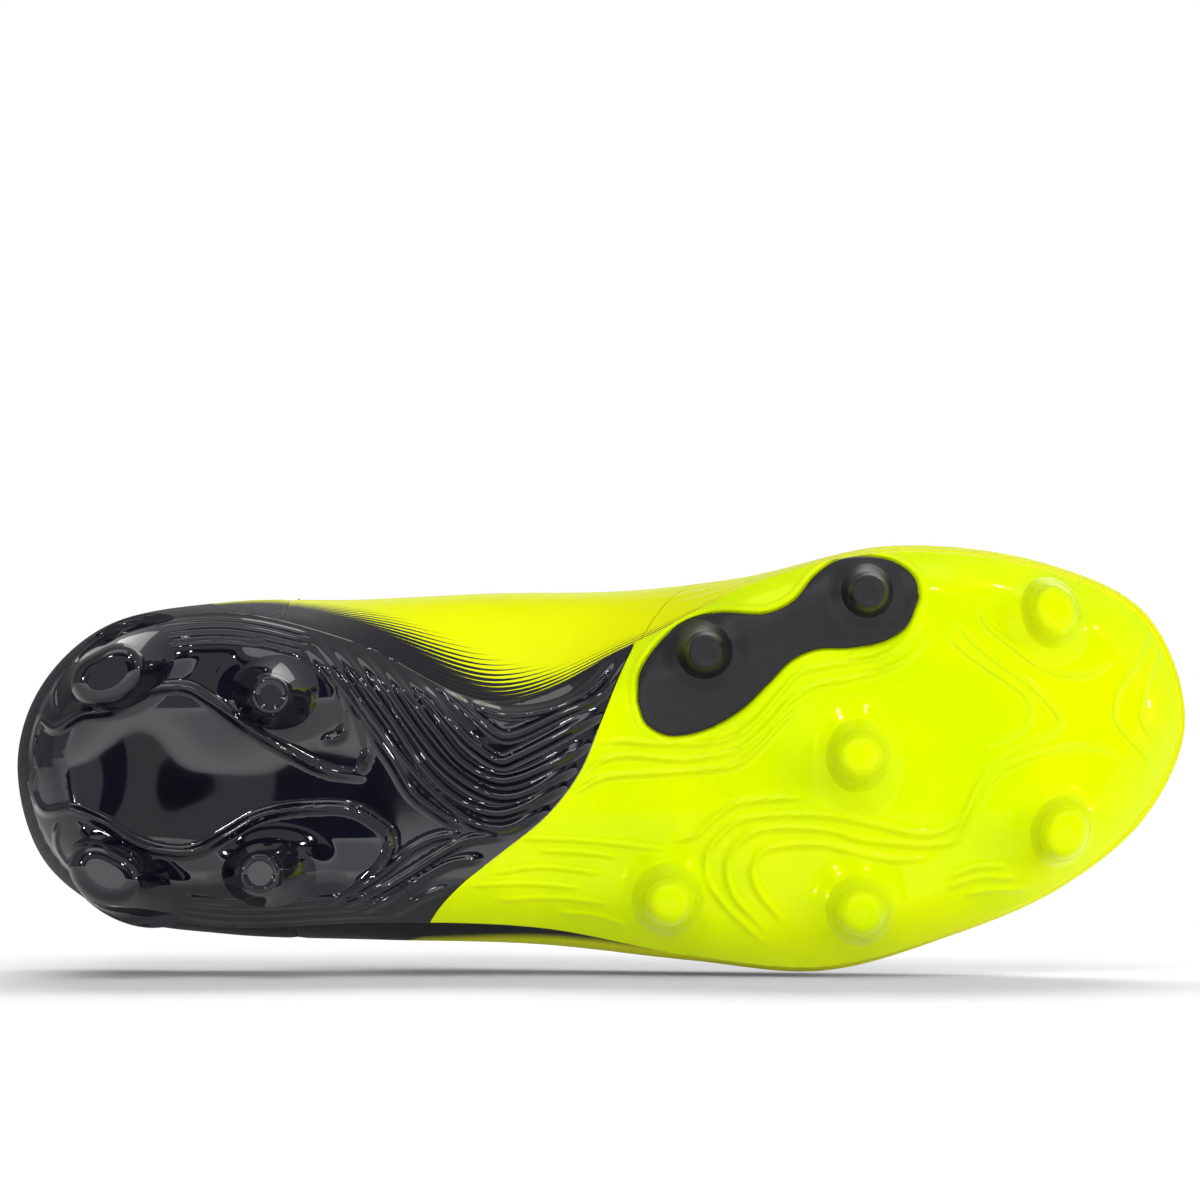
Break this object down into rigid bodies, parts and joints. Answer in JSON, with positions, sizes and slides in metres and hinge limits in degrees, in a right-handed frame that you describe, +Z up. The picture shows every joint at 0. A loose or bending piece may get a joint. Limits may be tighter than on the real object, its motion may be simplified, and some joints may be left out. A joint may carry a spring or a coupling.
{
  "type": "soccer cleat",
  "caption": "Left firm-ground soccer cleat: moulded two-part sole plate with studs, low padded-collar upper, tongue and removable sockliner.",
  "frame": {"origin": "on the ground under the middle of the boot's length and width, where the stud tips stand", "axes": "+X to the toe, +Y to the outer (lateral) side, +Z up"},
  "size_m": [0.285, 0.1032, 0.1241],
  "materials": {
    "black_moulding": "high gloss",
    "yellow_moulding": "gloss, slightly translucent",
    "grey_moulding": "satin",
    "yellow_upper": "satin synthetic skin",
    "yellow_stay": "satin synthetic skin",
    "dark_upper": "fine-lined textile under a film",
    "stiffener": "fibreboard",
    "board": "non-woven board",
    "foam": "open-cell foam",
    "lining": "knitted mesh",
    "binding": "ribbed knit",
    "tongue_cloth": "knitted textile over thin foam",
    "sock": "cloth over foam"
  },
  "bodies": {
    "boot": {"heel_plate": "black_moulding", "forefoot_plate": "yellow_moulding", "stud_carrier": "grey_moulding", "vamp": "yellow_upper", "medial_quarter": "yellow_upper", "lateral_quarter": "yellow_upper", "eyestay_medial": "yellow_stay", "eyestay_lateral": "yellow_stay", "heel_panel": "dark_upper", "heel_counter": "stiffener", "toe_puff": "stiffener", "strobel_board": "board", "collar_foam": "foam", "heel_lining": "lining", "vamp_lining": "lining", "collar_binding": "binding", "tongue": "tongue_cloth", "stud_tip_heel_medial_rear": "black_moulding", "stud_tip_heel_medial_front": "black_moulding", "stud_tip_heel_lateral_rear": "black_moulding", "stud_tip_heel_lateral_front": "black_moulding", "stud_tip_ball_medial_rear": "grey_moulding", "stud_tip_ball_medial_front": "grey_moulding", "stud_tip_ball_centre": "yellow_moulding", "stud_tip_ball_lateral_front": "yellow_moulding", "stud_tip_ball_lateral_rear": "yellow_moulding", "stud_tip_toe_medial": "yellow_moulding", "stud_tip_toe_lateral": "yellow_moulding"},
    "tongue_top": {"tongue_pad": "tongue_cloth"},
    "insole": {"sockliner": "sock"}
  },
  "joints": [
    {"name": "tongue_fold", "type": "hinge", "parent": "boot", "child": "tongue_top", "pos_m": [-0.0418, -0.0025, 0.107], "axis": [0, 1, 0], "range_deg": [-12, 70]},
    {"name": "sockliner_lift", "type": "hinge", "parent": "boot", "child": "insole", "pos_m": [0.1325, -0.009, 0.0289], "axis": [0, 1, 0], "range_deg": [0, 4]}
  ]
}
